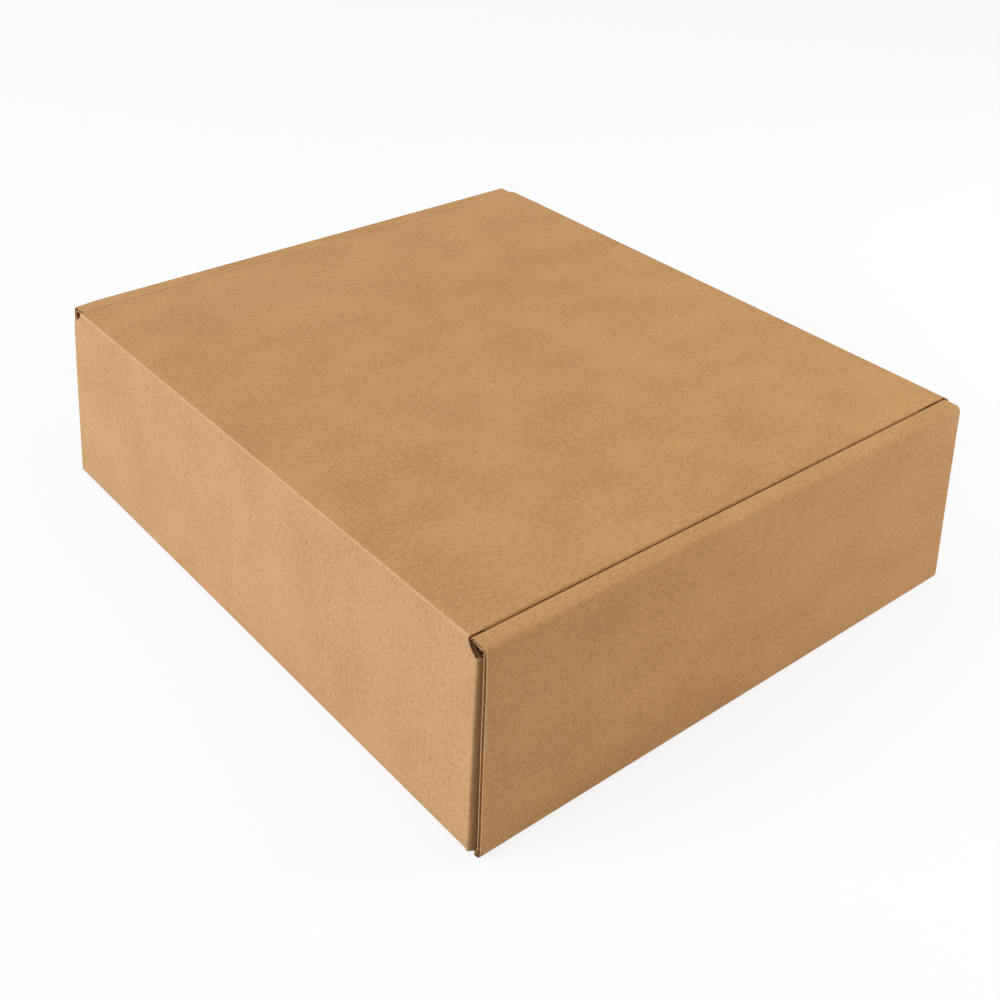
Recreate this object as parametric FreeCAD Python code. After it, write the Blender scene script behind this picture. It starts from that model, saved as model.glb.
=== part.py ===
import FreeCAD, Part
import math
import os

# A one-piece mailer of corrugated board, closed. Its rear wall carries the lid on a
# crease, and its side walls are rolled over their top edges and locked into the bottom.
# Millimetres. X runs along the lid's crease, +Y points to the rear wall, +Z is up.
# The origin is the middle of the underside.

# Driving dimensions of the box
length_x = 250.0          # outside at the foot, along the crease
depth_y = 217.0           # outside at the foot, front to back
lid_top = 72.0            # top face of the closed lid
rim_rise = 0.4            # how far the rolled rims stand above the lid
side_lean = 3.0           # the tops of the side walls lean in by this
rear_lean = 3.8           # the top of the rear wall leans in by this
front_lean = 2.6          # the top of the front wall leans in by this

# Board and folds
board = 1.6               # thickness of the board
fold_r = 2.2              # outside radius of a fold
layer_gap = 0.4           # clearance between two layers of board
rear_setback = 1.5        # raw rear ends of the side walls lie this far inside the rear face
front_setback = 2.6       # raw front ends of the side walls lie this far inside the front face
panel_inset = 3.0         # from the foot of a wall to the flat bottom panel, past the fold

# Rolled side walls
rim_width = 7.0           # across the roll, from outer face to inner face
rim_outer_r = 2.8         # outside radius of the roll's outer bend
rim_inner_r = 1.9         # outside radius of the roll's inner bend
tab_width = 32.0          # locking tabs of the inner layers
tab_pitch = 110.0         # between the middles of the two tabs of one wall
tab_recess = 0.3          # the tabs stop this far above the underside
tab_corner_r = 1.2
slot_play = 1.0           # slot is longer than its tab by this at each end

# Corner flaps of the rear and front walls
corner_r = 2.4            # outside radius of the upright corner folds
flap_length = 62.0
flap_foot = 2.5           # lower edge of a flap above the underside
flap_drop = 4.4           # upper edge of a flap below the lid's top face
flap_taper = 5.0
flap_corner_r = 6.0
notch_r = 2.8             # rounded notch at the top corners of the rear wall
front_drop = 1.6          # raw top edge of the front wall below the lid's top face

# Lid
lid_side_gap = 0.8        # between a rim and the lid
lid_fold_r = 1.9          # outside radius of the lid's side and front folds
lid_edge_gap = 0.25       # raw corners of the lid stand back by this from its folds
front_gap = 0.4           # between the front wall and the tuck flap's fold
tuck_depth = 26.0         # height of the tuck flap
tuck_lean = 4.5           # degrees that the tuck flap leans inwards
tuck_inset = 6.0          # tuck flap is shorter than the lid by this at each end
tuck_corner_r = 12.0
dust_depth = 44.0         # height of the dust flaps
dust_rear = 9.0           # from the rear face to the start of a dust flap
dust_front = 14.0         # from the front fold to the end of a dust flap
dust_taper = 12.0
dust_corner_r = 14.0

# Crease that carries the lid
crease_slot = 0.3         # width of the slot between the wall's crease and the lid's
axis_offset = 0.25        # hinge line outside the crease's surface

# Sizes that follow from those above
rim_top = lid_top + rim_rise
half_x = length_x / 2
half_y = depth_y / 2
slope_x = side_lean / rim_top                 # how far the side walls lean in for each mm of height
slope_rear = rear_lean / lid_top
slope_front = front_lean / lid_top
flap_x = board + layer_gap                    # outer face of a corner flap, from the side's foot
wall_start = flap_x + corner_r                # where the rear wall's flat part starts at the foot
rim_inside = side_lean + rim_width            # inner face of a side wall's inner layer
lid_x = rim_inside + lid_side_gap             # outer face of the lid's side fold
flap_top = lid_top - flap_drop
crease_corner = half_y - rear_lean            # where the rear wall's and the lid's faces would meet
crease_turn = math.pi / 2 - math.atan(slope_rear)
crease_reach = fold_r * math.tan(crease_turn / 2)
crease_y = crease_corner - crease_reach       # centre of the crease's arc
crease_z = lid_top - fold_r
lid_front_y = -half_y + front_lean + board + front_gap     # front face of the lid's front fold
overrun = 20.0                                # how far cutting tools reach past the part
tiny = 1e-6                                   # a length or an angle below this counts as zero
pick_reach = 0.01                             # how close an edge lies to the place that picks it


def vec(x, y, z):
    return FreeCAD.Vector(x, y, z)


def bent_section(corners, radii, thickness, place):
    """Face of a bent strip that lies on the inner side of its bends. corners is its outer face's path."""
    last = len(corners) - 1
    bends = []
    for i in range(1, last):
        ax, ay = corners[i - 1]
        bx, by = corners[i]
        cx, cy = corners[i + 1]
        in_len = math.hypot(bx - ax, by - ay)
        out_len = math.hypot(cx - bx, cy - by)
        d1 = ((bx - ax) / in_len, (by - ay) / in_len)
        d2 = ((cx - bx) / out_len, (cy - by) / out_len)
        turn = math.acos(d1[0] * d2[0] + d1[1] * d2[1])
        side = 1 if d1[0] * d2[1] - d1[1] * d2[0] > 0 else -1
        radius = radii[i - 1]
        reach = radius * math.tan(turn / 2)
        start = (bx - d1[0] * reach, by - d1[1] * reach)
        end = (bx + d2[0] * reach, by + d2[1] * reach)
        n1 = (-d1[1] * side, d1[0] * side)
        n2 = (-d2[1] * side, d2[0] * side)
        centre = (start[0] + n1[0] * radius, start[1] + n1[1] * radius)
        away = math.hypot(bx - centre[0], by - centre[1])
        ray = ((bx - centre[0]) / away, (by - centre[1]) / away)
        bends.append((start, end, n1, n2, centre, ray, radius))

    def at(point, normal, step):
        return (point[0] + normal[0] * step, point[1] + normal[1] * step)

    def chain(step):
        """Points of the path at this depth under the outer face, with arcs as triples."""
        parts = []
        here = at(corners[0], bends[0][2], step)
        for start, end, n1, n2, centre, ray, radius in bends:
            parts.append((here, at(start, n1, step)))
            bend_r = radius - step
            middle = (centre[0] + ray[0] * bend_r, centre[1] + ray[1] * bend_r)
            parts.append((at(start, n1, step), middle, at(end, n2, step)))
            here = at(end, n2, step)
        parts.append((here, at(corners[last], bends[-1][3], step)))
        return parts

    outer = chain(0.0)
    inner = chain(thickness)
    edges = []
    for run in outer + inner:
        points = [place(*p) for p in run]
        if len(points) == 3:
            edges.append(Part.Arc(*points).toShape())
        elif points[0].distanceToPoint(points[1]) > tiny:
            edges.append(Part.LineSegment(*points).toShape())
    for a, b in ((outer[0][0], inner[0][0]), (outer[-1][-1], inner[-1][-1])):
        edges.append(Part.LineSegment(place(*a), place(*b)).toShape())
    return Part.Face(Part.Wire(Part.__sortEdges__(edges)))


def box(x0, x1, y0, y1, z0, z1):
    return Part.makeBox(x1 - x0, y1 - y0, z1 - z0, vec(x0, y0, z0))


def prism(points, direction):
    wire = Part.makePolygon(points + [points[0]])
    return Part.Face(wire).extrude(direction)


def rounded(solid, axis, picks, radius):
    """Rounds the straight edges along one axis whose middles are at the picked places."""
    chosen = []
    for edge in solid.Edges:
        middle = edge.CenterOfMass
        along = edge.tangentAt(edge.FirstParameter)
        if abs(abs(along.dot(axis)) - 1) > tiny:
            continue
        if any((middle - p - axis * (middle - p).dot(axis)).Length < pick_reach for p in picks):
            chosen.append(edge)
    return solid.makeFillet(radius, chosen)


def mirrored_x(shape):
    return shape.mirror(vec(0, 0, 0), vec(1, 0, 0))


def mirrored_y(shape):
    return shape.mirror(vec(0, 0, 0), vec(0, 1, 0))


def bottom_panel():
    x = half_x - panel_inset
    y = half_y - panel_inset
    return box(-x, x, -y, y, 0, board)


def tab_middles():
    return (-tab_pitch / 2, tab_pitch / 2)


def lock_slots():
    """Cutters for the slots of the wall at -X."""
    x0 = -half_x + rim_inside - board - layer_gap
    x1 = -half_x + rim_inside + layer_gap
    reach = tab_width / 2 + slot_play
    return [box(x0, x1, y - reach, y + reach, -overrun, board + overrun) for y in tab_middles()]


def side_outline():
    """Block between the leaning raw ends of the side walls."""
    rear = half_y - rear_setback
    front = -half_y + front_setback
    top_rear = rear - slope_rear * rim_top
    top_front = front + slope_front * rim_top
    points = [
        vec(-half_x, front, 0), vec(-half_x, rear, 0),
        vec(-half_x, top_rear, rim_top), vec(-half_x, top_front, rim_top),
    ]
    return prism(points, vec(rim_inside, 0, 0))


def side_wall():
    """Outer layer, roll and inner layer of the wall at -X, with the inner layer's tabs."""
    inner_foot = board + layer_gap
    path = [
        (panel_inset, 0), (0, 0), (side_lean, rim_top),
        (rim_inside, rim_top), (rim_inside, inner_foot),
    ]
    radii = [fold_r, rim_outer_r, rim_inner_r]
    face = bent_section(path, radii, board, lambda a, b: vec(-half_x + a, -half_y, b))
    wall = face.extrude(vec(0, depth_y, 0)).common(side_outline())
    x0 = -half_x + rim_inside - board
    x1 = -half_x + rim_inside
    # below the roll, the inner layer stops short of the rear and front walls
    under_roll = rim_top - rim_inner_r
    rear_end = half_y - rear_lean - board - layer_gap
    front_end = -half_y + front_lean + board + layer_gap
    for y0, y1 in ((rear_end, half_y), (-half_y, front_end)):
        wall = wall.cut(box(x0 - layer_gap, x1 + overrun, y0, y1, -overrun, under_roll))
    for y in tab_middles():
        y0 = y - tab_width / 2
        y1 = y + tab_width / 2
        tab = box(x0, x1, y0, y1, tab_recess, inner_foot)
        picks = [vec(x0, y0, tab_recess), vec(x0, y1, tab_recess)]
        wall = wall.fuse(rounded(tab, vec(1, 0, 0), picks, tab_corner_r))
    return wall


def corner_flap(slope_y):
    """Flap at -X of a wall at +Y that leans in by slope_y, with its upright fold."""
    tip = half_y - flap_length
    x_flap = -half_x + flap_x
    path = [(-half_x + wall_start, half_y), (x_flap, half_y), (x_flap, tip)]
    across = board * math.sqrt(1 + slope_y ** 2)
    height = flap_top - flap_foot
    foot = vec(slope_x * flap_foot, -slope_y * flap_foot, flap_foot)
    face = bent_section(path, [corner_r], across, lambda a, b: vec(a, b, 0) + foot)
    flap = face.extrude(vec(slope_x * height, -slope_y * height, height))
    fold_end = half_y - slope_y * flap_top - corner_r
    x0 = -half_x
    outline = [
        vec(x0, half_y, flap_foot), vec(x0, fold_end, flap_foot),
        vec(x0, tip, flap_foot + flap_taper), vec(x0, tip, flap_top - flap_taper),
        vec(x0, fold_end, flap_top), vec(x0, half_y, flap_top),
    ]
    shape = prism(outline, vec(wall_start + side_lean, 0, 0))
    picks = [vec(x0, tip, flap_foot + flap_taper), vec(x0, tip, flap_top - flap_taper)]
    shape = rounded(shape, vec(1, 0, 0), picks, flap_corner_r)
    return flap.common(shape)


def wall_outline():
    """Block between the leaning sides of the rear and front walls."""
    foot = half_x - wall_start
    top = foot - slope_x * rim_top
    y0 = half_y - overrun
    points = [vec(-foot, y0, 0), vec(foot, y0, 0), vec(top, y0, rim_top), vec(-top, y0, rim_top)]
    return prism(points, vec(0, 2 * overrun, 0))


def upright_wall(top_path, top_radii):
    """Wall at +Y with its bottom fold and its corner notches. The path goes on over the top."""
    path = [(half_y - panel_inset, 0), (half_y, 0)] + top_path
    face = bent_section(path, [fold_r] + top_radii, board, lambda a, b: vec(-half_x, a, b))
    wall = face.extrude(vec(length_x, 0, 0)).common(wall_outline())
    notch = top_corner_cutter()
    return wall.cut(notch).cut(mirrored_x(notch))


def top_corner_cutter():
    """Rounded notch at a wall's top corner at -X. Below it the wall keeps its full width."""
    centre_x = -half_x + lid_x - notch_r
    centre_z = flap_top + notch_r + layer_gap
    y0 = half_y - overrun
    y1 = half_y + overrun
    top = rim_top + overrun
    disc = Part.makeCylinder(notch_r, y1 - y0, vec(centre_x, y0, centre_z), vec(0, 1, 0))
    above = box(-half_x - overrun, centre_x + notch_r, y0, y1, centre_z, top)
    beside = box(-half_x - overrun, centre_x, y0, y1, centre_z - notch_r, top)
    return disc.fuse([above, beside])


def crease_half(keep_lid):
    """Cutter that takes away the other side's half of the crease."""
    away = math.hypot(crease_reach, fold_r)
    ray_y = crease_reach / away
    ray_z = fold_r / away
    side = 1 if keep_lid else -1
    near = side * crease_slot / 2
    far = near - side * overrun
    reach = overrun / 4

    def at(out, along):
        y = crease_y + out * ray_y - along * ray_z
        z = crease_z + out * ray_z + along * ray_y
        return vec(-half_x, y, z)

    points = [at(-reach, near), at(reach, near), at(reach, far), at(-reach, far)]
    return prism(points, vec(length_x, 0, 0))


def rear_wall():
    over_the_top = [(crease_corner, lid_top), (crease_corner - panel_inset, lid_top)]
    wall = upright_wall(over_the_top, [fold_r])
    # the cutter goes on below the crease, so only its part at the crease is used
    crease = box(-half_x, half_x, crease_y - panel_inset, half_y, crease_z - board, rim_top)
    wall = wall.cut(crease_half(keep_lid=False).common(crease))
    flap = corner_flap(slope_rear)
    return wall.fuse([flap, mirrored_x(flap)])


def front_wall():
    top_z = lid_top - front_drop
    wall = upright_wall([(half_y - slope_front * top_z, top_z)], [])
    flap = corner_flap(slope_front)
    return mirrored_y(wall.fuse([flap, mirrored_x(flap)]))


def make_tray():
    panel = bottom_panel()
    for slot in lock_slots():
        panel = panel.cut(slot).cut(mirrored_x(slot))
    wall = side_wall()
    tray = panel.fuse([wall, mirrored_x(wall), rear_wall(), front_wall()])
    return tray.removeSplitter()


def lid_outline():
    """Block that leaves the lid its width, and the tuck flap its shorter length and round corners."""
    x0 = -half_x + lid_x + lid_edge_gap
    x1 = -half_x + lid_x + tuck_inset
    y0 = lid_front_y - overrun
    foot = lid_top - tuck_depth
    panel = box(x0, -x0, lid_front_y + lid_fold_r, half_y, lid_top - overrun, lid_top)
    flap = box(x1, -x1, y0, half_y, foot, lid_top)
    picks = [vec(x1, y0, foot), vec(-x1, y0, foot)]
    return panel.fuse(rounded(flap, vec(0, 1, 0), picks, tuck_corner_r))


def lid_panel():
    """Lid from the crease to the foot of its tuck flap, without the dust flaps."""
    tip_y = lid_front_y + tuck_depth * math.tan(math.radians(tuck_lean))
    start = panel_inset
    path = [
        (crease_corner + slope_rear * start, lid_top - start), (crease_corner, lid_top),
        (lid_front_y, lid_top), (tip_y, lid_top - tuck_depth),
    ]
    radii = [fold_r, lid_fold_r]
    face = bent_section(path, radii, board, lambda a, b: vec(-half_x, a, b))
    lid = face.extrude(vec(length_x, 0, 0))
    return lid.cut(crease_half(keep_lid=True)).common(lid_outline())


def dust_flap():
    """Dust flap at -X with its fold. It hangs inside the rolled side wall."""
    y_rear = half_y - dust_rear
    y_front = lid_front_y + dust_front
    foot = lid_top - dust_depth
    shoulder = lid_top - lid_fold_r
    x_flap = -half_x + lid_x
    path = [(x_flap + lid_fold_r, lid_top), (x_flap, lid_top), (x_flap, foot)]
    face = bent_section(path, [lid_fold_r], board, lambda a, b: vec(a, y_front, b))
    flap = face.extrude(vec(0, y_rear - y_front, 0))
    outline = [
        vec(x_flap, y_front, lid_top), vec(x_flap, y_rear, lid_top), vec(x_flap, y_rear, shoulder),
        vec(x_flap, y_rear - dust_taper, foot), vec(x_flap, y_front + dust_taper, foot),
        vec(x_flap, y_front, shoulder),
    ]
    shape = prism(outline, vec(lid_fold_r, 0, 0))
    picks = [vec(x_flap, y_rear - dust_taper, foot), vec(x_flap, y_front + dust_taper, foot)]
    shape = rounded(shape, vec(1, 0, 0), picks, dust_corner_r)
    return flap.common(shape)


def make_lid():
    """Lid panel, tuck flap and both dust flaps."""
    x0 = -half_x
    x1 = -half_x + lid_x + lid_fold_r
    # the panel's edge makes room for the fold that the dust flap hangs on
    room = box(x0, x1, lid_front_y + dust_front, half_y - dust_rear, lid_top - lid_fold_r, lid_top)
    panel = lid_panel().cut(room).cut(mirrored_x(room))
    flap = dust_flap()
    return panel.fuse([flap, mirrored_x(flap)]).removeSplitter()


os.makedirs("parts", exist_ok=True)
nodes = {"tray": make_tray(), "lid": make_lid()}
for name, shape in nodes.items():
    if len(shape.Solids) != 1 or not shape.isValid():
        raise RuntimeError(f"{name} is not one valid solid: {len(shape.Solids)} solids")
    shape.Solids[0].exportStep(f"parts/{name}.step")

away = math.hypot(crease_reach, fold_r)
offset = (fold_r + axis_offset) / away
hinge_y = crease_y + crease_reach * offset
hinge_z = crease_z + fold_r * offset
print("hinge line y, z:", round(hinge_y, 4), round(hinge_z, 4))
for name, shape in nodes.items():
    bounds = shape.BoundBox
    low = [round(v, 3) for v in (bounds.XMin, bounds.YMin, bounds.ZMin)]
    high = [round(v, 3) for v in (bounds.XMax, bounds.YMax, bounds.ZMax)]
    print(name, "volume", round(shape.Volume), "from", low, "to", high)
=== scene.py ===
import math

import bpy
import numpy as np
from mathutils import Matrix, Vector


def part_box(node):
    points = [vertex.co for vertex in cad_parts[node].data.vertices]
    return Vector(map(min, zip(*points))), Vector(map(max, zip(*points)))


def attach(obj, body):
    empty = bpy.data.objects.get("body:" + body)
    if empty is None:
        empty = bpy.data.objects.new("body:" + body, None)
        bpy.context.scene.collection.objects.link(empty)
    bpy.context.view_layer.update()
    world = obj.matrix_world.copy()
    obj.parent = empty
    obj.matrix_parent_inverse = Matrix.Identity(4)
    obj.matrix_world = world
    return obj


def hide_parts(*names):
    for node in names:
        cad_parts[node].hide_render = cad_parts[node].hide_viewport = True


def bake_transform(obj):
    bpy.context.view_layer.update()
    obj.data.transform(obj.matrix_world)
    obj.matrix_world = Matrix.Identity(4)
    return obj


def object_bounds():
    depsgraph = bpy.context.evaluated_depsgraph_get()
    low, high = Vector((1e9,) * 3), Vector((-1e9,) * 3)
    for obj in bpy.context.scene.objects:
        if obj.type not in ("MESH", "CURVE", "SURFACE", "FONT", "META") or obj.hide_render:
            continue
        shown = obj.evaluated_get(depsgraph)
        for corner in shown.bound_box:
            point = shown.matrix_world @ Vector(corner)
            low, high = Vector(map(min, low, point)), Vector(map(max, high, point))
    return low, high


# A closed mailer of brown corrugated board. The board is built as it is made: two liners and a
# wavy core between them, cut out flat and then folded. X runs along the lid's crease, +Y points
# to the rear wall that carries the lid, +Z is up. Sizes are millimetres, except where a line
# says otherwise.

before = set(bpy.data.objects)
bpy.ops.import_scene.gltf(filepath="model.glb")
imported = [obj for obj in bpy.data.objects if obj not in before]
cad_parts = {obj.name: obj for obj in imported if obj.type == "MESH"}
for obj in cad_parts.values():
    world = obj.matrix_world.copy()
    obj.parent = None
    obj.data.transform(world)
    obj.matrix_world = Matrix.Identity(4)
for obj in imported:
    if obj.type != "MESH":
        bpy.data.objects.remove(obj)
cad_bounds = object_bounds()

MM = 0.001
tray_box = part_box("tray")
lid_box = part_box("lid")

# The box
half_x = 125.0            # to the foot of a side wall
half_y = 108.5            # to the foot of the rear and front walls
lid_top = lid_box[1][2] / MM
rim_top = tray_box[1][2] / MM
side_lean = 3.0           # how far the tops of the walls lean in
rear_lean = 3.8
front_lean = 2.6
rear_setbacks = ((1.4, 0.1), (1.4, 1.4))      # raw ends of the side walls, each at foot and top
front_setbacks = (2.6, 4.2)
panel_inset = 3.0         # from a wall's foot to the flat bottom panel
rim_width = 7.0
lid_x = 10.8              # from a side's foot to the crease's end
lid_near_x = 10.95        # from the foot of the side at -X to the lid's side fold
lid_far_x = 10.03         # the same at +X: the lid does not lie quite in the middle
layer_gap = 0.4           # between the layers of a wall
lid_front_y = -103.9      # front face of the lid's front fold
crease_margin = 1.0       # flat board that goes with the crease at each side of it

# Board
board = 1.6
liner = 0.3               # thickness of a liner
core = 0.2                # thickness of the wavy core
pitch = 3.2               # of the waves
samples = 6               # of each wave
core_recess = 0.3         # the core ends this far behind the liners at a raw edge
edge_wander = 0.07        # how far a raw edge wanders
step = 9.0                # between the cuts of a flat stretch
slack = 1e-3              # rows this close to a strip's end count as on it
touch = 1e-4              # points of an outline this close count as one

# Folds: outside radius of each
fold_r = 2.2
corner_r = 2.2
tight_r = 0.9             # of the corner at +X, +Y
loose_crease_r = 1.0      # of the corner at -X, +Y, which turns in two steps
loose_bend_r = 2.5        # of its second step, behind the side wall
loose_reach = (2.2, 4.6)  # between the two steps, along X and Y
crease_r = 0.8
lid_fold_r = 0.9
far_fold_r = 0.7          # the lid's and the rim's folds along the gap at +X
rim_outer_r = 1.8
rim_inner_r = 1.1
crush = 0.85              # the board at a sharp fold is no thicker than this share of the radius
crush_reach = 1.5         # the board regains its thickness over this length

# Flaps, in the order of X or of the strip's length, then of the height or depth
flap_length = 62.0        # corner flaps
flap_foot = 2.5
flap_drop = 4.4           # from the lid's top
flap_taper = 5.0
flap_corner_r = 6.0
flap_shoulder = 2.0       # straight board behind the turn
turn_foot = 0.9           # the turn comes down this close to the floor
notches = ((4.4, 4.9), (3.2, 3.4))            # width and height at the top corners, at -X and +X
notch_band = 6.0          # part of the wall that is cut finely for the notches
notch_rise = 2.0
tab_pitch = 110.0         # locking tabs
tab_width = 32.0
tab_lap = 0.4
tab_play = 0.3
tab_corner_r = 1.2
slot_play = 1.0
fold_width = 2.0          # strip at each side of the lid that bends down
edge_spread = 0.2         # the lid is this much wider beside its dust flaps, at -X
tuck_length = 26.0        # tuck flap
tuck_lean = math.radians(4.5)
tuck_inset = 6.0
tuck_neck = 3.5
tuck_relief = 0.6
tuck_corner_r = 12.0
dust_rear = 9.0           # dust flaps: room at the rear and front
dust_front = 14.0
dust_depth = 44.0
dust_taper = 12.0
dust_corner_r = 14.0

# Wear: how far walls bow, and how far the bow varies. A zone is where a wall's points are found,
# from the foot or top inwards, and a fade is the width over which its wear comes in
rear_zone = 12.0
side_zone = 9.0
wall_fade = 8.0
far_rim_zone = (11.0, 8.0)                    # along X and Z
far_rim_fade = (2.0, 6.0)
rear_bow = (0.35, 0.25)
side_bow = (0.25, 0.25)
lid_sag = (0.55, 0.2)
soft_end = (0.6, 0.6)     # the rolls' rear ends are pressed in by this, at -X and +X
soft_end_r = (4.5, 7.0)
soft_end_length = (12.0, 5.0)
far_rim_drop = 0.4        # the roll at +X lies this much lower than the one at -X

# Slopes and places that follow
slope_x = side_lean / rim_top
slope_rear = rear_lean / lid_top
slope_front = front_lean / lid_top
rim_inside = side_lean + rim_width
inner_foot = board + layer_gap
panel_x = half_x - panel_inset
panel_y = half_y - panel_inset
under_roll = rim_top - rim_inner_r
flap_face = half_x - inner_foot               # outer face of the corner flaps
flap_top = lid_top - flap_drop
lid_half = half_x - lid_x


class FoldPath:
    """Outer face of a folded strip in profile: straight runs joined by arcs.

    side is 1 where the board lies to the left of the path, and -1 where it lies to the right.
    """

    def __init__(self, corners, radii, side):
        self.side = side
        self.runs = []
        points = [np.array(c, float) for c in corners]
        here = points[0]
        self.length = 0.0
        for i, radius in enumerate(radii, start=1):
            d1 = self.direction(points[i - 1], points[i])
            d2 = self.direction(points[i], points[i + 1])
            turn = math.atan2(d1[0] * d2[1] - d1[1] * d2[0], d1 @ d2)
            reach = radius * math.tan(abs(turn) / 2)
            heading = math.atan2(d1[1], d1[0])
            start = points[i] - d1 * reach
            self.add(here, heading, 0.0, math.dist(here, start))
            self.add(start, heading, math.copysign(1 / radius, turn), radius * abs(turn))
            here = points[i] + d2 * reach
        d = self.direction(points[-2], points[-1])
        self.add(here, math.atan2(d[1], d[0]), 0.0, math.dist(here, points[-1]))

    @staticmethod
    def direction(a, b):
        return (b - a) / math.dist(a, b)

    def add(self, point, heading, curvature, length):
        self.runs.append((self.length, self.length + length, point, heading, curvature))
        self.length += length

    def at(self, s):
        """Points of the outer face and normals into the board, at the distances s along the path."""
        s = np.asarray(s, float)
        point = np.zeros(s.shape + (2,))
        normal = np.zeros(s.shape + (2,))
        for k, (start, end, origin, heading, curvature) in enumerate(self.runs):
            here = s >= start if k else s > -np.inf
            t = s[here] - start
            angle = heading + curvature * t
            if curvature:
                dx = (np.sin(angle) - math.sin(heading)) / curvature
                dy = (math.cos(heading) - np.cos(angle)) / curvature
            else:
                dx = t * math.cos(heading)
                dy = t * math.sin(heading)
            point[here] = np.stack([origin[0] + dx, origin[1] + dy], -1)
            normal[here] = np.stack([-np.sin(angle), np.cos(angle)], -1) * self.side
        return point, normal

    def bend(self, k):
        """Start and end of the k-th arc."""
        arcs = [run for run in self.runs if run[4]]
        return arcs[k][0], arcs[k][1]

    def thinned(self, s):
        """Share of its thickness that the board keeps at the distances s along the path."""
        keep = np.ones(np.shape(s))
        for start, end, _, _, curvature in self.runs:
            if curvature:
                least = min(1.0, crush / abs(curvature) / board)
                away = np.clip(np.maximum(start - s, s - end) / crush_reach, 0, 1)
                keep = np.minimum(keep, least + (1 - least) * away * away * (3 - 2 * away))
        return keep

    def rows(self, s0, s1, arc_steps=8):
        """Distances from s0 to s1 at which the strip is cut into rows."""
        marks = [s0, s1]
        for start, end, _, _, curvature in self.runs:
            count = arc_steps if curvature else max(1, round((end - start) / step))
            marks += list(np.linspace(start, end, count + 1))
            if curvature:
                for share in (0.25, 0.5, 0.75, 1.0):
                    marks += [start - share * crush_reach, end + share * crush_reach]
        marks = np.unique(np.round(marks, 4))
        return marks[(marks >= s0 - slack) & (marks <= s1 + slack)]


def wave(across):
    """Depth of the core's middle and its slope, by the place across the flutes."""
    swing = (board - 2 * liner - core) / 2
    phase = 2 * math.pi * across / pitch + 0.25 * np.sin(across / 17.0) + 0.15 * np.sin(across / 5.3)
    slope = swing * 2 * math.pi / pitch * np.cos(phase)
    return board / 2 + swing * np.sin(phase), slope


def wander(t, seed):
    """Small smooth wandering of a raw edge along its length t."""
    waves = ((1.0, 1.9, 1.0), (0.7, 4.3, 2.1), (0.4, 9.7, 3.7))
    return sum(size * np.sin(t * pace + shift * seed) for size, pace, shift in waves) / 2.1


def ripple(p, seed):
    """Slow uneven waviness of handled board, from -1 to 1."""
    x, y, z = p[..., 0], p[..., 1], p[..., 2]
    a = np.sin(x / 31.0 + seed) * np.sin(y / 37.0 + 1.7 * seed + z / 44.0)
    b = np.sin(x / 17.0 - y / 23.0 + 2.3 * seed) * np.sin(z / 19.0 + y / 51.0 + seed)
    return 0.65 * a + 0.35 * b


def settle(p):
    """Bows and soft corners of the tray's board. Everything stays inside the straight box."""
    x, y, z = p[..., 0], p[..., 1], p[..., 2]
    out = p.copy()
    height = np.clip(z / rim_top, 0, 1)
    inside_x = 1 - np.clip(np.abs(x) / half_x, 0, 1) ** 6
    inside_y = 1 - np.clip(np.abs(y) / half_y, 0, 1) ** 6
    belly = np.sin(math.pi * height) ** 2
    # walls bow a little: the rear one out, the side ones in
    rear = np.clip((y - (half_y - rear_zone)) / wall_fade, 0, 1)
    out[..., 1] += rear * belly * inside_x * (rear_bow[0] + rear_bow[1] * ripple(p, 1.0))
    side = np.clip((np.abs(x) - (half_x - side_zone)) / wall_fade, 0, 1)
    out[..., 0] -= np.sign(x) * side * belly * inside_y * (side_bow[0] + side_bow[1] * ripple(p, 4.0))
    # the rolls' rear ends are rounder than the rest of them
    away = np.hypot(np.abs(x) - (half_x - side_lean), z - rim_top) / np.where(x < 0, *soft_end_r)
    pull = (1 - np.clip(away, 0, 1) ** 2) ** 2 * np.where(x < 0, *soft_end)
    pull *= np.clip(1 - (half_y - rear_lean - y) / np.where(x < 0, *soft_end_length), 0, 1) ** 2
    out[..., 0] -= np.sign(x) * pull
    low = np.clip((x - half_x + far_rim_zone[0]) / far_rim_fade[0], 0, 1)
    low *= np.clip((z - lid_top + far_rim_zone[1]) / far_rim_fade[1], 0, 1)
    out[..., 2] -= pull + far_rim_drop * low
    out[..., 1] = np.clip(out[..., 1], cad_bounds[0][1] / MM, cad_bounds[1][1] / MM)
    return out


def sag(p):
    """The lid hangs a little in its middle. Nothing moves at its crease."""
    x, y, z = p[..., 0], p[..., 1], p[..., 2]
    across = np.clip(1 - (x / lid_half) ** 2, 0, 1)
    along = np.sin(math.pi * np.clip((y - lid_front_y) / (half_y - rear_lean - lid_front_y), 0, 1))
    out = p.copy()
    out[..., 2] -= across * along * (lid_sag[0] + lid_sag[1] * ripple(p, 2.0))
    return out


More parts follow.
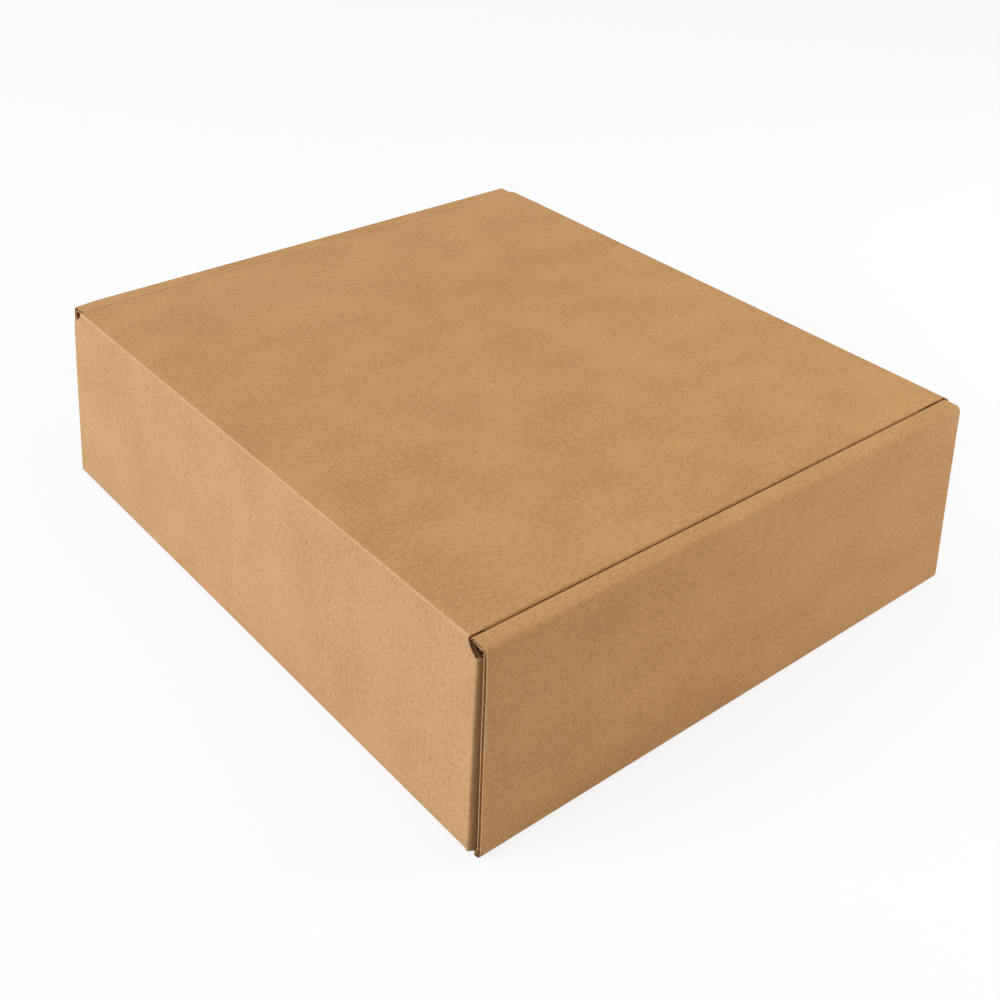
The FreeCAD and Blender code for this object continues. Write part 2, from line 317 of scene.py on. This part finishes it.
class Sheet:
    """Collects the closed shells of one piece of folded board."""

    def __init__(self, *shapes):
        self.shapes = shapes
        self.points = []
        self.faces = []
        self.flat = []
        self.kinds = []
        self.count = 0

    def shell(self, top, bottom, flat, kind):
        """Closed shell between two grids of points. kind 0 is liner and 1 is core."""
        rows, cols = top.shape[:2]
        size = rows * cols
        grid = np.arange(size).reshape(rows, cols)
        upper = np.stack([grid[:-1, :-1], grid[:-1, 1:], grid[1:, 1:], grid[1:, :-1]], -1).reshape(-1, 4)
        faces = [upper, upper[:, ::-1] + size]
        ring = np.concatenate([grid[0, :], grid[1:, -1], grid[-1, -2::-1], grid[-2:0:-1, 0]])
        after = np.roll(ring, -1)
        faces.append(np.stack([after, ring, ring + size, after + size], -1))
        faces = np.concatenate(faces)
        points = np.concatenate([top.reshape(-1, 3), bottom.reshape(-1, 3)])
        corner = points[faces]
        middle = points.mean(0)
        a, b, c, d = (corner[:, k] - middle for k in range(4))
        volume = (a * np.cross(b, c)).sum() + (a * np.cross(c, d)).sum()
        if volume < 0:
            faces = faces[:, ::-1]
        self.points.append(points)
        self.faces.append(faces + self.count)
        self.flat.append(np.concatenate([flat.reshape(-1, 2)] * 2))
        self.kinds.append(np.full(len(faces), kind))
        self.count += 2 * size

    def panel(self, path, place, flat, s0, s1, span, raw="", extra=()):
        """One stretch of board along a path, from s0 to s1 and between span(s).

        raw names the cut edges: a and b at s0 and s1, c and d at the low and high side.
        """
        rows = np.unique(np.concatenate([path.rows(s0, s1), np.asarray(extra, float)]))
        low, high = span(rows)
        width = float((high - low).max())
        cols = max(2, math.ceil(width / step) + 1)
        seed = self.count % 97 / 7.0    # another one for each panel
        for depth in (0.0, board - liner):
            s, w = self.lay_out(rows, span, cols, raw, seed + depth, 0.0)
            self.fold(path, place, flat, s, w, depth, depth + liner, 0)
        if not raw:
            # no cut edge shows the flutes
            s, w = self.lay_out(rows, span, cols, raw, seed, 0.0)
            self.fold(path, place, flat, s, w, (board - core) / 2, (board + core) / 2, 1)
            return
        # the core needs many cuts across the flutes and few along them
        across_w = abs(flat(0.0, 1.0)[0] - flat(0.0, 0.0)[0]) > 0.5
        if across_w:
            cols = max(3, math.ceil(width / pitch * samples) + 1)
        else:
            count = max(2, math.ceil((s1 - s0) / pitch * samples) + 1)
            rows = np.unique(np.concatenate([rows, np.linspace(s0, s1, count)]))
            cols = max(3, math.ceil(width / (2 * step)) + 1)
        s, w = self.lay_out(rows, span, cols, raw, seed, core_recess)
        middle, slope = wave(flat(s, w)[0])
        half = core / 2 * np.sqrt(1 + slope ** 2)
        self.fold(path, place, flat, s, w, middle - half, middle + half, 1)

    def lay_out(self, rows, span, cols, raw, seed, recess):
        """Grid of places on the flat sheet, with raw edges that wander a little."""
        low, high = span(rows)
        low = low + (recess if "c" in raw else 0.0)
        high = high - (recess if "d" in raw else 0.0)
        t = np.linspace(0, 1, cols)
        s = np.repeat(rows[:, None], cols, 1)
        w = low[:, None] + (high - low)[:, None] * t
        if "c" in raw:
            w[:, 0] += edge_wander * (1 + wander(rows, seed))
        if "d" in raw:
            w[:, -1] -= edge_wander * (1 + wander(rows, seed + 1))
        if "a" in raw:
            s[0] += recess + edge_wander * (1 + wander(w[0], seed + 2))
        if "b" in raw:
            s[-1] -= recess + edge_wander * (1 + wander(w[-1], seed + 3))
        return s, w

    def fold(self, path, place, flat, s, w, depth0, depth1, kind):
        """Folds a flat grid and adds it as a shell between two depths under the outer face."""
        point, normal = path.at(s)
        keep = path.thinned(s)
        sides = []
        for depth in (depth0, depth1):
            depth = (depth * keep)[..., None]
            at = point + normal * depth
            p = np.stack(np.broadcast_arrays(*place(at[..., 0], at[..., 1], w)), -1)
            for shape in self.shapes:
                p = shape(p)
            sides.append(p * MM)
        u, v = flat(s, w)
        self.shell(sides[0], sides[1], np.stack(np.broadcast_arrays(u, v), -1), kind)

    def build(self, name, materials):
        """Makes the mesh object."""
        points = np.concatenate(self.points)
        faces = np.concatenate(self.faces)
        mesh = bpy.data.meshes.new(name)
        mesh.from_pydata(points.tolist(), [], faces.tolist())
        flat = np.concatenate(self.flat)[faces.ravel()] * MM
        layer = mesh.uv_layers.new(name="sheet")
        layer.data.foreach_set("uv", flat.astype(np.float32).ravel())
        for material in materials:
            mesh.materials.append(material)
        mesh.polygons.foreach_set("material_index", np.concatenate(self.kinds).astype(np.int32))
        mesh.polygons.foreach_set("use_smooth", np.ones(len(faces), bool))
        mesh.update()
        mesh.set_sharp_from_angle(angle=math.radians(38))
        obj = bpy.data.objects.new(name, mesh)
        bpy.context.scene.collection.objects.link(obj)
        return obj


def constant(low, high):
    """Span of a strip with straight sides."""
    return lambda s: (np.full(np.shape(s), float(low)), np.full(np.shape(s), float(high)))


def outline_span(corners, radii):
    """Span of a flap from its outline, whose corners are (s, w) and are rounded by radii."""
    points = []
    count = len(corners)
    for i in range(count):
        before = np.array(corners[i - 1], float)
        here = np.array(corners[i], float)
        after = np.array(corners[(i + 1) % count], float)
        if not radii[i]:
            points.append(here)
            continue
        d1 = FoldPath.direction(here, before)
        d2 = FoldPath.direction(here, after)
        half = math.acos(np.clip(d1 @ d2, -1, 1)) / 2
        reach = radii[i] / math.tan(half)
        centre = here + (d1 + d2) / np.linalg.norm(d1 + d2) * radii[i] / math.sin(half)
        start = here + d1 * reach - centre
        end = here + d2 * reach - centre
        turn = math.atan2(start[0] * end[1] - start[1] * end[0], start @ end)
        for t in np.linspace(0, 1, 13):
            c, n = math.cos(turn * t), math.sin(turn * t)
            points.append(centre + np.array([start[0] * c - start[1] * n, start[0] * n + start[1] * c]))
    points = np.array(points)
    ends = np.roll(points, -1, 0)

    def span(s):
        s = np.atleast_1d(np.asarray(s, float))
        low = np.full(s.shape, np.inf)
        high = np.full(s.shape, -np.inf)
        for (sa, wa), (sb, wb) in zip(points, ends):
            inside = (s >= min(sa, sb) - touch) & (s <= max(sa, sb) + touch)
            upright = abs(sb - sa) <= touch
            t = np.zeros(s.shape) if upright else np.clip((s - sa) / (sb - sa), 0, 1)
            w = wa + (wb - wa) * t
            other = wb if upright else w
            low = np.where(inside, np.minimum(low, np.minimum(w, other)), low)
            high = np.where(inside, np.maximum(high, np.maximum(w, other)), high)
        return low, high

    return span


# The box is cut from one flat sheet. flat coordinates: the bottom panel keeps its x and y, and
# everything folded up from it goes on outwards, so the flutes run along the flat sheet's y.
rear_path = FoldPath(
    [(panel_y, 0), (half_y, 0), (half_y - rear_lean, lid_top), (lid_front_y, lid_top),
     (lid_front_y + tuck_length * math.tan(tuck_lean), lid_top - tuck_length)],
    [fold_r, crease_r, lid_fold_r], 1)
front_path = FoldPath(
    [(panel_y, 0), (half_y, 0), (half_y - slope_front * (lid_top - board), lid_top - board)],
    [fold_r], 1)
side_corners = [
    (panel_inset, 0), (0, 0), (side_lean, rim_top), (rim_inside, rim_top), (rim_inside, inner_foot)]
side_path = FoldPath(side_corners, [fold_r, rim_outer_r, rim_inner_r], -1)
far_side_path = FoldPath(side_corners, [fold_r, rim_outer_r, far_fold_r], -1)

crease_start, crease_end = rear_path.bend(1)
strip_start = crease_start - crease_margin
strip_end = crease_end + crease_margin


def corner_path(reach, radii):
    """Path of a corner flap in plan, and where it starts on the wall. reach is across its turn."""
    first = (flap_face - reach[0], half_y)
    corners, turn = [first], math.pi / 2
    if reach[0]:
        corners.append((flap_face, half_y - reach[1]))
        turn = math.atan2(reach[1], reach[0])
    start = first[0] - radii[0] * math.tan(turn / 2) - 0.1
    return FoldPath([(start, half_y)] + corners + [(flap_face, half_y - flap_length)], radii, -1), start


tight_path, tight_start = corner_path((0.0, 0.0), [tight_r])
loose_path, loose_start = corner_path(loose_reach, [loose_crease_r, loose_bend_r])
plain_path, plain_start = corner_path((0.0, 0.0), [corner_r])


def wall_span(path, starts):
    """Sides of the rear or front wall, with its notches at the top corners."""
    def span(s):
        z = path.at(s)[0][..., 1]
        sides = []
        for start, (width, height) in zip(starts, notches):
            half = start - slope_x * z
            drop = (lid_top - z) / height
            notched = lid_half + width * (1 - np.sqrt(1 - np.clip(drop, 0, 1) ** 2))
            sides.append(np.where(drop < 1, np.minimum(half, notched), half))
        return -sides[0], sides[1]
    return span


def place_rear(a, b, w):
    return w, a, b


def place_front(a, b, w):
    return w, -a, b


def flat_rear(s, w):
    return w, panel_y + s


def flat_front(s, w):
    return w, -panel_y - s


tray = Sheet(settle)

# Bottom panel, with a slot for each locking tab
bottom_path = FoldPath([(-panel_x, 0), (panel_x, 0)], [], 1)
slot_start = half_x - rim_inside - layer_gap
slot_end = half_x - rim_inside + board + layer_gap
slot_half = tab_width / 2 + slot_play


def bottom(x0, x1, y0, y1, raw=""):
    tray.panel(bottom_path, lambda a, b, w: (a, w, b), lambda s, w: (s - panel_x, w),
               x0 + panel_x, x1 + panel_x, constant(y0, y1), raw)


bottom(-slot_start, slot_start, -panel_y, panel_y)
near_slot = tab_pitch / 2 - slot_half
far_slot = tab_pitch / 2 + slot_half
for sign in (-1, 1):
    x0, x1 = sorted((sign * slot_start, sign * slot_end))
    strips = ((-panel_y, -far_slot, "d"), (-near_slot, near_slot, "cd"), (far_slot, panel_y, "c"))
    for y0, y1, raw in strips:
        bottom(x0, x1, y0, y1, raw)
    x0, x1 = sorted((sign * slot_end, sign * panel_x))
    bottom(x0, x1, -panel_y, panel_y)


def side_span(path, rear_ends):
    """Front and rear raw ends of a side wall."""
    def span(s):
        height = path.at(s)[0][..., 1] / rim_top
        low = -half_y + front_setbacks[0] + (front_lean + front_setbacks[1] - front_setbacks[0]) * height
        return low, half_y - rear_ends[0] - (rear_lean + rear_ends[1] - rear_ends[0]) * height
    return span


for sign, path, rear_ends in ((-1, side_path, rear_setbacks[0]), (1, far_side_path, rear_setbacks[1])):
    def place(a, b, w, sign=sign):
        return sign * (half_x - a), w, b

    def flat(s, w, sign=sign):
        return sign * (panel_x + s), w

    # outer layer and roll, then the inner layer with its two locking tabs
    end = path.length
    roll_end = end - (under_roll - inner_foot)
    tray.panel(path, place, flat, 0.0, roll_end, side_span(path, rear_ends), "cd")
    inner_rear = half_y - rear_lean - board - layer_gap
    inner_front = -half_y + front_lean + board + layer_gap
    tray.panel(path, place, flat, roll_end, end, constant(inner_front, inner_rear), "bcd")
    tab_start = end - tab_lap
    tab_end = end + inner_foot - tab_play
    for y in (-tab_pitch / 2, tab_pitch / 2):
        y0, y1 = y - tab_width / 2, y + tab_width / 2
        span = outline_span([(tab_start, y0), (tab_start, y1), (tab_end, y1), (tab_end, y0)],
                            [0, 0, tab_corner_r, tab_corner_r])
        tray.panel(path, place, flat, tab_start, tab_end, span, "bcd",
                   extra=np.linspace(tab_end - tab_corner_r, tab_end, 6))

# Rear wall up to the crease, front wall up to its raw top edge
for path, place, flat, end, starts, raw, rows in (
    (rear_path, place_rear, flat_rear, strip_start, (loose_start, tight_start), "", 16),
    (front_path, place_front, flat_front, front_path.length, (plain_start, plain_start), "b", 12),
):
    tray.panel(path, place, flat, 0.0, end, wall_span(path, starts), raw,
               extra=np.linspace(end - notch_band, end, rows))

# Corner flaps, between the two layers of the side walls
for path, start, sign, sign_y, slope_y in (
    (loose_path, loose_start, -1, 1, slope_rear), (tight_path, tight_start, 1, 1, slope_rear),
    (plain_path, plain_start, -1, -1, slope_front), (plain_path, plain_start, 1, -1, slope_front),
):
    def place(a, b, w, sign=sign, sign_y=sign_y, slope_y=slope_y):
        return sign * (a - slope_x * w), sign_y * (b - slope_y * w), w

    def flat(s, w, start=start, sign=sign, sign_y=sign_y):
        return sign * (start + s), sign_y * (panel_y + w)

    end = path.length
    turned, inside = path.bend(-1)
    inside += flap_shoulder
    top = lid_top - notches[0][1] if sign < 0 else flap_top
    span = outline_span(
        [(0.0, turn_foot), (turned, turn_foot), (inside, flap_foot), (end, flap_foot + flap_taper),
         (end, flap_top - flap_taper), (inside + notch_rise, flap_top), (turned, top), (0.0, top)],
        [0, 0, 0, flap_corner_r, flap_corner_r, 0, 0, 0])
    tray.panel(path, place, flat, 0.0, end, span, "bcd",
               extra=np.append(np.linspace(end - flap_corner_r, end, 8), [inside, inside + notch_rise]))

# Lid: the flat panel, the front fold with the tuck flap, and the dust flaps
lid = Sheet(sag)
edge_near = half_x - lid_near_x
edge_far = half_x - lid_far_x
tuck_half = lid_half - tuck_inset
dust_rear_y = half_y - dust_rear
dust_front_y = lid_front_y + dust_front
front_fold = rear_path.bend(2)[0]


def lid_s(y):
    """Distance along the rear path of a place on the flat lid."""
    return front_fold - (y - rear_path.at(front_fold)[0][0])


for s0, s1, low, high, raw in (
    (strip_end, lid_s(dust_rear_y), edge_near + edge_spread, edge_far, "cd"),
    (lid_s(dust_rear_y), lid_s(dust_front_y), edge_near - fold_width, edge_far - fold_width, ""),
    (lid_s(dust_front_y), front_fold, edge_near + edge_spread, edge_far, "cd"),
):
    lid.panel(rear_path, place_rear, flat_rear, s0, s1, constant(-low, high), raw)
tuck_start = front_fold + tuck_neck
span = outline_span(
    [(front_fold, -edge_near + tuck_relief), (front_fold, edge_far - tuck_relief), (tuck_start, tuck_half),
     (rear_path.length, tuck_half), (rear_path.length, -tuck_half), (tuck_start, -tuck_half)],
    [0, 0, 0, tuck_corner_r, tuck_corner_r, 0])
lid.panel(rear_path, place_rear, flat_rear, front_fold, rear_path.length, span, "bcd",
          extra=np.append(np.linspace(rear_path.length - tuck_corner_r, rear_path.length, 14), tuck_start))

for sign, edge, radius in ((-1, edge_near, lid_fold_r), (1, edge_far, far_fold_r)):
    dust_path = FoldPath(
        [(edge - fold_width, lid_top), (edge, lid_top), (edge, lid_top - dust_depth)],
        [radius], -1)
    shoulder = dust_path.bend(0)[1]
    span = outline_span(
        [(0.0, dust_front_y), (shoulder, dust_front_y), (dust_path.length, dust_front_y + dust_taper),
         (dust_path.length, dust_rear_y - dust_taper), (shoulder, dust_rear_y), (0.0, dust_rear_y)],
        [0, 0, dust_corner_r, dust_corner_r, 0, 0])

    def place(a, b, w, sign=sign):
        return sign * a, w, b

    def flat(s, w, sign=sign, edge=edge):
        return sign * (edge - fold_width + s), panel_y + lid_s(w)

    lid.panel(dust_path, place, flat, 0.0, dust_path.length, span, "bcd",
              extra=np.linspace(dust_path.length - dust_corner_r, dust_path.length, 14))

# Crease strip: the rounded board of the crease, from the top of the wall onto the lid
crease = Sheet(settle)
crease.panel(rear_path, place_rear, flat_rear, strip_start, strip_end,
             constant(-lid_half, lid_half), "cd")


# Materials

class Nodes:
    """Short way to write a material's nodes."""

    def __init__(self, name):
        self.material = bpy.data.materials.new(name)
        self.material.use_nodes = True
        self.tree = self.material.node_tree
        self.shader = self.tree.nodes["Principled BSDF"]
        uv = self.tree.nodes.new("ShaderNodeUVMap")
        uv.uv_map = "sheet"
        self.sheet = uv.outputs[0]

    def link(self, value, socket):
        if isinstance(value, bpy.types.NodeSocket):
            self.tree.links.new(value, socket)
        else:
            socket.default_value = value

    def math(self, operation, a, b=0.0, clamp=False):
        node = self.tree.nodes.new("ShaderNodeMath")
        node.operation = operation
        node.use_clamp = clamp
        self.link(a, node.inputs[0])
        self.link(b, node.inputs[1])
        return node.outputs[0]

    def stretched(self, scale_x, scale_y, shift=0.0):
        node = self.tree.nodes.new("ShaderNodeMapping")
        self.link(self.sheet, node.inputs["Vector"])
        node.inputs["Scale"].default_value = (scale_x, scale_y, 1.0)
        node.inputs["Location"].default_value = (shift, shift * 0.7, shift * 0.3)
        return node.outputs[0]

    def noise(self, vector, detail, roughness):
        node = self.tree.nodes.new("ShaderNodeTexNoise")
        node.noise_dimensions = "2D"
        self.link(vector, node.inputs["Vector"])
        node.inputs["Scale"].default_value = 1.0
        node.inputs["Detail"].default_value = detail
        node.inputs["Roughness"].default_value = roughness
        return node.outputs["Fac"]

    def spread(self, value, low, high, to_low, to_high):
        node = self.tree.nodes.new("ShaderNodeMapRange")
        self.link(value, node.inputs["Value"])
        for socket, number in zip(node.inputs[1:5], (low, high, to_low, to_high)):
            socket.default_value = number
        return node.outputs[0]

    def mix(self, factor, a, b):
        node = self.tree.nodes.new("ShaderNodeMix")
        node.data_type = "RGBA"
        self.link(factor, node.inputs["Factor"])
        self.link(a, node.inputs[6])
        self.link(b, node.inputs[7])
        return node.outputs[2]

    def bump(self, height, distance, under=None):
        node = self.tree.nodes.new("ShaderNodeBump")
        node.inputs["Strength"].default_value = 1.0
        node.inputs["Distance"].default_value = distance
        self.link(height, node.inputs["Height"])
        if under is not None:
            self.link(under, node.inputs["Normal"])
        return node.outputs[0]

    def band(self, value, middle, reach):
        """1 at the middle, falling to 0 at reach."""
        away = self.math("ABSOLUTE", self.math("SUBTRACT", value, middle))
        return self.spread(away, 0.0, reach, 1.0, 0.0)


# Noise scales are waves for each metre of the flat sheet, across and along the flutes
kraft_colour = (0.552, 0.300, 0.119, 1.0)
kraft_light = (0.660, 0.405, 0.205, 1.0)
kraft_dark = (0.360, 0.175, 0.058, 1.0)
core_colour = (0.300, 0.150, 0.058, 1.0)
# painted shade: colour that stands in for the shadow in the groove behind the side wall at -X, +Y
painted_shade_colour = (0.150, 0.070, 0.022, 1.0)
crease_reach = 0.6        # half width of the pale line at the lid's crease, partly wear and partly painted highlight
rim_reach = 0.8           # and of the one at the rims
shade_band_middle = 3.8       # of the painted shade band on the loose corner flap, from its start
shade_band_reach = 3.5


def kraft():
    n = Nodes("kraft_board")
    split = n.tree.nodes.new("ShaderNodeSeparateXYZ")
    n.link(n.sheet, split.inputs[0])
    across, along = split.outputs[0], split.outputs[1]
    fibre = n.noise(n.stretched(1700.0, 1100.0), 4.0, 0.65)
    grain = n.noise(n.stretched(700.0, 420.0, 3.1), 3.0, 0.6)
    blotch = n.noise(n.stretched(55.0, 38.0, 7.7), 3.0, 0.5)
    cloud = n.noise(n.stretched(11.0, 9.0, 1.3), 2.0, 0.5)
    fibre_dark = n.spread(fibre, 0.35, 0.65, -0.18, 0.36)
    dark = n.math("ADD", fibre_dark, n.spread(grain, 0.3, 0.7, -0.07, 0.31))
    dark = n.math("ADD", dark, n.spread(blotch, 0.3, 0.7, -0.13, 0.15), clamp=True)
    colour = n.mix(dark, kraft_colour, kraft_dark)
    light = n.spread(cloud, 0.3, 0.7, 0.0, 0.10)
    # board is paler where it has been bent, at the lid's crease and at the rolled rims: partly worn,
    # stretched fibres and partly a painted highlight along these folds
    crease_y = (panel_y + (crease_start + crease_end) / 2) * MM
    wear_and_highlight = n.noise(n.stretched(160.0, 500.0, 5.0), 3.0, 0.6)
    wear_and_highlight = n.spread(wear_and_highlight, 0.2, 0.6, 0.45, 1.0)
    line = n.math("MULTIPLY", n.band(along, crease_y, crease_reach * MM), wear_and_highlight)
    rim_s = side_path.bend(2)
    rim_x = (panel_x + (rim_s[0] + rim_s[1]) / 2) * MM
    rim = n.math("MULTIPLY", n.band(n.math("ABSOLUTE", across), rim_x, rim_reach * MM), wear_and_highlight)
    light = n.math("ADD", light, n.math("MULTIPLY", n.math("MAXIMUM", line, rim), 0.6), clamp=True)
    colour = n.mix(light, colour, kraft_light)
    # painted shade: the corner flap at -X, +Y is darkened in its colour where it goes in behind the side
    # wall, standing in for the shadow in that groove
    groove_shade = n.band(across, -(loose_start + shade_band_middle) * MM, shade_band_reach * MM)
    top = panel_y + flap_top
    for low, high, at_low, at_high in ((panel_y, panel_y + 1.0, 0.0, 1.0), (top - 2.0, top, 1.0, 0.0)):
        groove_shade = n.math("MULTIPLY", groove_shade, n.spread(along, low * MM, high * MM, at_low, at_high))
    colour = n.mix(groove_shade, colour, painted_shade_colour)
    n.link(colour, n.shader.inputs["Base Color"])
    n.link(n.spread(grain, 0.3, 0.7, 0.84, 0.96), n.shader.inputs["Roughness"])
    n.shader.inputs["Specular IOR Level"].default_value = 0.22
    flutes = n.math("SINE", n.math("MULTIPLY", across, 2 * math.pi / (pitch * MM)))
    height = n.bump(flutes, 0.000012)
    height = n.bump(fibre, 0.00004, under=height)
    height = n.bump(grain, 0.00006, under=height)
    n.link(height, n.shader.inputs["Normal"])
    return n.material


def kraft_core():
    n = Nodes("kraft_core")
    fibre = n.noise(n.stretched(2200.0, 2200.0), 3.0, 0.6)
    blotch = n.noise(n.stretched(300.0, 300.0, 4.0), 2.0, 0.5)
    dark = n.math("ADD", n.spread(fibre, 0.3, 0.7, 0.0, 0.35), n.spread(blotch, 0.3, 0.7, 0.0, 0.25))
    n.link(n.mix(dark, core_colour, kraft_dark), n.shader.inputs["Base Color"])
    n.link(n.spread(fibre, 0.3, 0.7, 0.88, 0.98), n.shader.inputs["Roughness"])
    n.shader.inputs["Specular IOR Level"].default_value = 0.15
    n.link(n.bump(fibre, 0.00005), n.shader.inputs["Normal"])
    return n.material


materials = [kraft(), kraft_core()]
tray_board = tray.build("tray_board", materials)
lid_board = lid.build("lid_board", materials)
hinge_crease = crease.build("hinge_crease", materials)
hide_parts("tray")
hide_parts("lid")
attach(tray_board, "tray")
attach(lid_board, "lid")
wall_end = rear_path.at(strip_start)[0] * MM
lid_end = rear_path.at(strip_end)[0] * MM
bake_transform(hinge_crease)

# Floor and background, white where the camera sees them directly
scene = bpy.context.scene


def camera_or_mirror(tree):
    """1 where a ray comes straight from the camera or from a reflection of it."""
    path = tree.nodes.new("ShaderNodeLightPath")
    total = path.outputs["Is Camera Ray"]
    for name in ("Is Glossy Ray", "Is Transmission Ray"):
        node = tree.nodes.new("ShaderNodeMath")
        node.operation = "MAXIMUM"
        tree.links.new(total, node.inputs[0])
        tree.links.new(path.outputs[name], node.inputs[1])
        total = node.outputs[0]
    return total


world = bpy.data.worlds.new("studio")
scene.world = world
world.use_nodes = True
tree = world.node_tree
back = tree.nodes["Background"]
back.inputs["Color"].default_value = (1.0, 1.0, 1.0, 1.0)
strength = tree.nodes.new("ShaderNodeMapRange")
tree.links.new(camera_or_mirror(tree), strength.inputs["Value"])
strength.inputs["To Min"].default_value = 0.2
strength.inputs["To Max"].default_value = 0.985
tree.links.new(strength.outputs[0], back.inputs["Strength"])

floor_mesh = bpy.data.meshes.new("floor")
reach = 6.0               # metres
floor_drop = 0.0002       # metres, below the box
floor_mesh.from_pydata([(-reach, -reach, 0), (reach, -reach, 0), (reach, reach, 0), (-reach, reach, 0)],
                       [], [(0, 1, 2, 3)])
floor = bpy.data.objects.new("floor", floor_mesh)
scene.collection.objects.link(floor)
floor_material = bpy.data.materials.new("floor_paper")
floor_material.use_nodes = True
paper = floor_material.node_tree.nodes["Principled BSDF"]
paper.inputs["Roughness"].default_value = 0.9
paper.inputs["Specular IOR Level"].default_value = 0.1
paper.inputs["Emission Color"].default_value = (1.0, 1.0, 1.0, 1.0)
tree = floor_material.node_tree
seen = camera_or_mirror(tree)
for name, other, camera_ray in (("Emission Strength", 0.0, 0.82), ("Base Color", 0.9, 0.16)):
    level = tree.nodes.new("ShaderNodeMapRange")
    tree.links.new(seen, level.inputs["Value"])
    level.inputs["To Min"].default_value = other
    level.inputs["To Max"].default_value = camera_ray
    tree.links.new(level.outputs[0], paper.inputs[name])
floor_mesh.materials.append(floor_material)
floor.location.z = -floor_drop


def lamp(name, place, aim, size, watts, colour):
    """Soft area light. Places are metres."""
    data = bpy.data.lights.new(name, "AREA")
    data.shape = "RECTANGLE"
    data.size, data.size_y = size
    data.energy = watts
    data.color = colour
    obj = bpy.data.objects.new(name, data)
    scene.collection.objects.link(obj)
    away = np.array(aim, float) - np.array(place, float)
    away /= np.linalg.norm(away)
    side = np.cross(away, (0, 0, 1))
    side /= np.linalg.norm(side)
    up = np.cross(side, away)
    obj.matrix_world = Matrix((
        (side[0], up[0], -away[0], place[0]), (side[1], up[1], -away[1], place[1]),
        (side[2], up[2], -away[2], place[2]), (0, 0, 0, 1)))
    return obj


lamp("key", (0.5, 1.6, 0.75), (0.0, 0.1, 0.04), (1.2, 0.9), 36.0, (0.63, 0.74, 1.0))
lamp("side", (-0.42, -0.62, 0.26), (-0.12, -0.10, 0.03), (0.3, 0.25), 3.5, (0.88, 0.88, 1.0))
lamp("above", (0.0, 0.0, 1.6), (0.001, 0.0, 0.0), (2.0, 2.0), 15.5, (1.0, 0.955, 0.76))

# Camera, fitted to the photograph's edges
image_size = 1000.0       # pixels
focal = 1395.7            # pixels
middle_x, middle_y = 495.1, 400.0       # where the optical axis meets the image, in pixels
camera_place = (-0.3306, 0.2842, 0.3062)
heading = math.radians(130.59)
tilt = math.radians(30.16)
roll = math.radians(2.17)
sensor = 36.0

data = bpy.data.cameras.new("camera")
data.sensor_width = sensor
data.lens = focal * sensor / image_size
data.shift_x = 0.5 - middle_x / image_size
data.shift_y = middle_y / image_size - 0.5
data.clip_start = 0.01
data.clip_end = 50.0
camera = bpy.data.objects.new("camera", data)
scene.collection.objects.link(camera)
ahead = math.cos(tilt)
forward = np.array((math.sin(heading) * ahead, math.cos(heading) * ahead, -math.sin(tilt)))
level = np.cross(forward, (0, 0, 1))
level /= np.linalg.norm(level)
above = np.cross(level, forward)
right = level * math.cos(roll) + above * math.sin(roll)
up = above * math.cos(roll) - level * math.sin(roll)
camera.matrix_world = Matrix([
    (right[k], up[k], -forward[k], camera_place[k]) for k in range(3)] + [(0, 0, 0, 1)])
scene.camera = camera
scene.view_settings.view_transform = "Standard"
